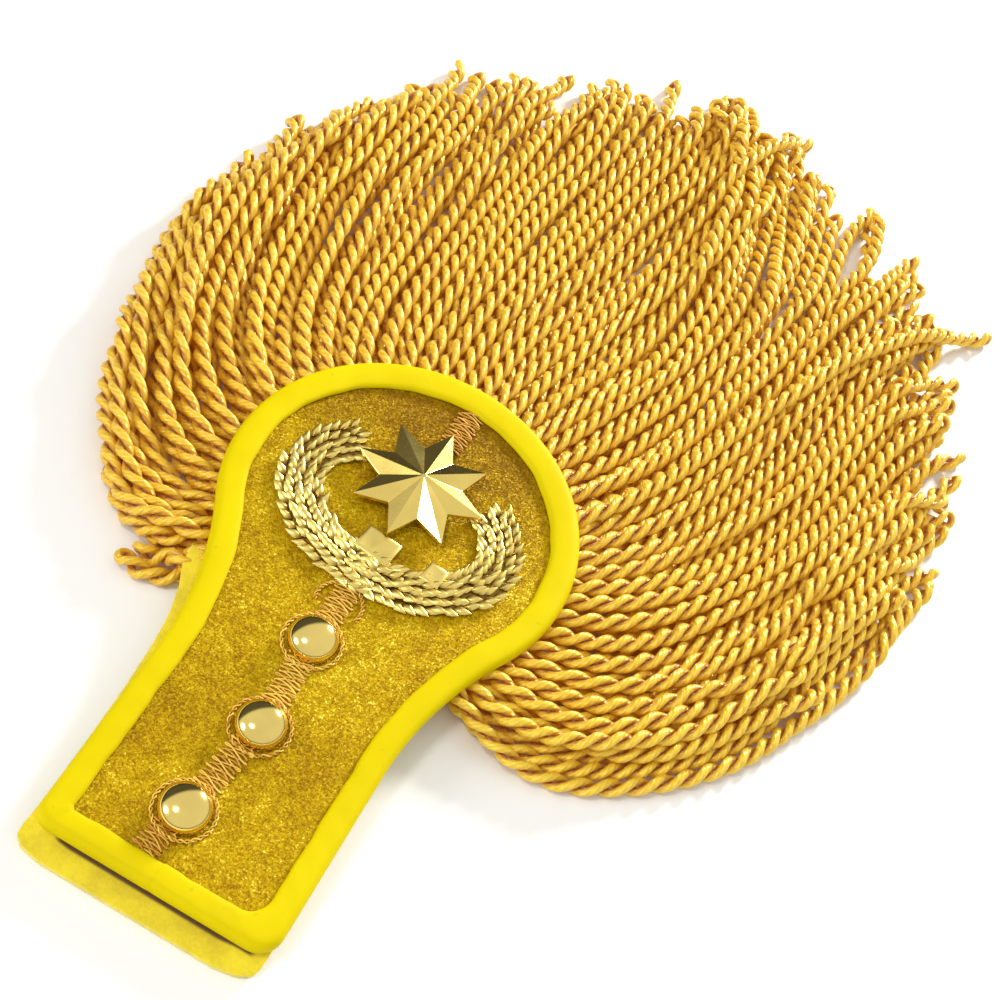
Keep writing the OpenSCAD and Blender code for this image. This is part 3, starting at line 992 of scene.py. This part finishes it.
def start_heights(ways, rows):
    """Heights of the cords before they settle: three rows under the rim, falling outward."""
    run = np.linspace(0, 1, CORD_STEPS)
    top = rim_z(ways[:, 0, 1]) - SOFT_GAP - REST_Z
    step = np.minimum((top - REST_Z) / 2, 3.9)
    root = top - (2 - rows) * step
    fall = np.interp(run, [0, 0.08, 0.4, 1], [1, 0.97, 0.6, 0.35])
    return REST_Z + (root - REST_Z)[:, None] * fall[None, :]


def close_pairs(points, owner, reach):
    """Pairs of points of two cords that are closer than a reach."""
    tree = KDTree(len(points))
    for i, p in enumerate(points):
        tree.insert(p, i)
    tree.balance()
    first, second = [], []
    for i, p in enumerate(points):
        for _, j, _ in tree.find_range(p, reach):
            if j > i and owner[j] != owner[i]:
                first.append(i)
                second.append(j)
    return np.array(first), np.array(second)


def settle(chains, rounds, held=3):
    """Chains of points, all of the same count, let down on the table."""
    count, steps, _ = chains.shape
    owner = np.repeat(np.arange(count), steps)
    rest = np.linalg.norm(np.diff(chains, axis=1), axis=2)
    aim = chains[:, :, :2].copy()
    bend = chains[:, 1:-1, :2] - (chains[:, :-2, :2] + chains[:, 2:, :2]) / 2
    fixed = chains[:, :held].copy()
    for k in range(rounds):
        flat = chains.reshape(-1, 3)
        if k % 10 == 0:
            first, second = close_pairs(flat, owner, CORD_D * 1.35)
        chains[:, :, 2] -= 0.07
        chains[:, :, :2] += 0.06 * (aim - chains[:, :, :2])
        middle = (chains[:, :-2] + chains[:, 2:]) / 2
        middle[:, :, :2] += bend
        chains[:, 1:-1] += 0.35 * (middle - chains[:, 1:-1])
        for _ in range(2):
            apart = flat[second] - flat[first]
            gap = np.linalg.norm(apart, axis=1)
            push = np.clip(CORD_D - gap, 0, None) / np.maximum(gap, 1e-6) * 0.3
            move = apart * push[:, None]
            for axis in range(3):
                flat[:, axis] += np.bincount(second, move[:, axis], len(flat))
                flat[:, axis] -= np.bincount(first, move[:, axis], len(flat))
        along = np.diff(chains, axis=1)
        size = np.linalg.norm(along, axis=2, keepdims=True)
        fix = along * (1 - rest[:, :, None] / size) * 0.4
        chains[:, :-1] += fix
        chains[:, 1:] -= fix
        chains[:, :held] = fixed
        past_rim = np.maximum(np.hypot(chains[:, :, 0], chains[:, :, 1] - RIM_MIDDLE) - RIM_R, 0)
        ceiling = rim_z(chains[:, :, 1]) - SOFT_GAP - REST_Z + 0.8 * past_rim
        chains[:, :, 2] = np.clip(chains[:, :, 2], REST_Z, np.maximum(ceiling, REST_Z))
    return chains


ways = np.array(cord_ways)
chains = np.concatenate([ways, start_heights(ways, cord_rows)[:, :, None]], axis=2)
chains = settle(chains, 160)
print("cords reach from", chains.reshape(-1, 3).min(0).round(1), "to", chains.reshape(-1, 3).max(0).round(1))

# %% [markdown]
# ## Twisting the strands
#
# A strand runs out along the cord as one ply, turns at the tip and comes back as the other, so a
# cord is one long tube. Its middle line circles the cord's middle line once in a pitch, looser near
# the root. At the tip the strand opens a little and turns round. Each vertex of the tube remembers
# if it lies on the cord's crown or deep between the plies, where the colour is painted darker as shade.

# %% Twist
STRAND_R = 1.25
STRAND_OFF = 1.35
LOOP_OFF = 2.3
PITCH = 13.4
RINGS_IN_PITCH = 12
SIDES = 8


def smooth_line(points, count):
    """Points at equal steps along a smooth curve through a row of points."""
    run = run_along(points)
    want = np.linspace(0, run[-1], count)
    slopes = np.gradient(points, run, axis=0)
    i = np.clip(np.searchsorted(run, want, side="right") - 1, 0, len(run) - 2)
    h = (run[i + 1] - run[i])[:, None]
    t = (want[:, None] - run[i][:, None]) / h
    return ((1 + 2 * t) * (1 - t) ** 2 * points[i] + t * (1 - t) ** 2 * h * slopes[i]
            + t * t * (3 - 2 * t) * points[i + 1] + t * t * (t - 1) * h * slopes[i + 1])


def strand(chain, phase, loose):
    """Middle line of the doubled strand of a cord, and at each point its outward direction."""
    length = np.linalg.norm(np.diff(chain, axis=0), axis=1).sum()
    count = int(length / PITCH * RINGS_IN_PITCH)
    line = smooth_line(chain, count)
    ahead = unit(np.gradient(line, axis=0))
    side = unit(np.cross(ahead, [0, 0, 1]))
    up = np.cross(side, ahead)
    run = np.linspace(0, length, count)
    uneven = 1 + 0.12 * np.sin(run / 19 + 3 * phase) + 0.35 * np.exp(-run / 25)
    turns = np.cumsum(1 / (PITCH * loose * uneven)) * run[1]
    tail = np.clip((length - run) / 7, 0, 1)
    spin = phase + 2 * np.pi * turns
    out = np.cos(spin)[:, None] * side + np.sin(spin)[:, None] * up
    off = (LOOP_OFF + (STRAND_OFF - LOOP_OFF) * tail)[:, None]
    bow = np.linspace(0, np.pi, 9)[1:-1, None]
    tip_out = np.cos(bow) * out[-1] + np.sin(bow) * ahead[-1]
    middle = np.concatenate([line + off * out, line[-1] + LOOP_OFF * tip_out, (line - off * out)[::-1]])
    outward = np.concatenate([out, tip_out, -out[::-1]])
    middle[:, 2] = np.maximum(middle[:, 2], STRAND_R + 0.05)
    return middle, outward


def twisted_cords(name, chains, phases, tones):
    """One mesh of many cords, with the attributes that the yarn's material reads."""
    around = 2 * np.pi * np.arange(SIDES) / SIDES
    points, faces, uvs, crowns, shades = [], [], [], [], []
    base = 0
    for chain, phase, shade in zip(chains, phases, tones):
        middle, outward = strand(chain, phase, 0.9 + 0.22 * (phase * 7 % 1))
        ahead = unit(np.gradient(middle, axis=0))
        outward = unit(outward - (outward * ahead).sum(1, keepdims=True) * ahead)
        side = np.cross(ahead, outward)
        rings = len(middle)
        points.append(rings_round(middle, STRAND_R, outward, side, SIDES).reshape(-1, 3))
        i, k = np.meshgrid(np.arange(rings - 1), np.arange(SIDES), indexing="ij")
        a, b = i * SIDES + k, i * SIDES + (k + 1) % SIDES
        faces.append(base + np.stack([a, b, b + SIDES, a + SIDES], -1).reshape(-1, 4))
        run = run_along(middle)
        u, v = np.stack([k, k + 1, k + 1, k], -1) / SIDES, run[np.stack([i, i, i + 1, i + 1], -1)] * 0.1
        uvs.append(np.stack([u, v], -1).reshape(-1, 2))
        crowns.append(np.tile(np.cos(around), rings))
        shades.append(np.full(rings * SIDES, shade))
        base += rings * SIDES
    made = new_piece(name, np.concatenate(points) + [0, HEAD_Y, 0], np.concatenate(faces))
    uv_map = made.data.uv_layers.new(name="along_strand")
    uv_map.data.foreach_set("uv", np.concatenate(uvs).ravel())
    remember(made, "crown", np.concatenate(crowns))
    remember(made, "tone", np.concatenate(shades))
    only(made)
    edit()
    bpy.ops.mesh.fill_holes(sides=SIDES)
    bpy.ops.object.mode_set(mode="OBJECT")
    return made


# %% [markdown]
# ## The yarn
#
# The strands are gilt rayon yarn: dozens of fine filaments that lie nearly along the strand. They
# shine on the crown of each ply, where pale streaks are painted into the colour as a highlight; the
# flanks and the gaps between the plies are painted darker as shade. A weak orange glow is painted
# light, standing for light that passes through the yarn and bounces between the cords. Fine ridges
# along the strand, from a wave on its own coordinates, stand for the filaments.

# %% Yarn
yarn, g, shader, room = new_material("gilt_yarn")
where = g.node("UVMap", {"uv_map": "along_strand"})
across, along = where.axis(0), where.axis(1)
ply = g.math("PINGPONG", across * 4 + along * 2.2, 0.5) * 2
filament = g.math("PINGPONG", across * 16 + along * 5 + noise(g, room, 260) * 1.5, 0.5) * 2
mottle = noise(g, room, 90)
# painted light and shade: the plies' crowns lighter, their flanks and the gaps between them darker
painted_crown_light = (kept(g, "crown") * 0.5 + 0.5 + (mottle - 0.5) * 0.4).between(0.0, 0.9)
painted_flank_shade = painted_crown_light.pick((0.40, 0.12, 0.002), (0.80, 0.49, 0.010))
warm = (kept(g, "tone") + (mottle - 0.5) * 0.4).clamped().pick((0.80, 0.50, 0.012), (0.88, 0.64, 0.028))
colour = (painted_crown_light * 0.7).pick(painted_flank_shade, warm)
# painted highlight: pale streaks on the plies' crowns
painted_streak_highlight = (ply + filament * 0.45 - 0.4).between(0.55, 0.95) * painted_crown_light * 0.65
colour = painted_streak_highlight.pick(colour, (0.98, 0.80, 0.30))
# the weak constant orange emission is a painted glow, standing for light passing through the yarn and
# bouncing between the cords
feed(g, shader, base_color=colour, roughness=0.34, metallic=0.2, specular_ior_level=0.7,
     normal=raised(g, ply + filament * 0.3, 0.0003, 0.7), emission_color=(0.05, 0.012, 0.0),
     emission_strength=1.0, sheen_weight=0.6, sheen_roughness=0.25, sheen_tint=(1.0, 0.85, 0.45))

# %% Cords, dealt out to five meshes by where they start
phases = rng.uniform(0, 2 * np.pi, len(chains))
tones = np.clip(rng.normal(0.5, 0.25, len(chains)) + cord_angles / 500, 0, 1)
order = np.argsort(cord_angles, kind="stable")
for part, chosen in enumerate(np.array_split(order, 5)):
    cords = twisted_cords(f"cords_{part + 1}", chains[chosen], phases[chosen], tones[chosen])
    hand_over(cords, yarn, "cord", "fringe")
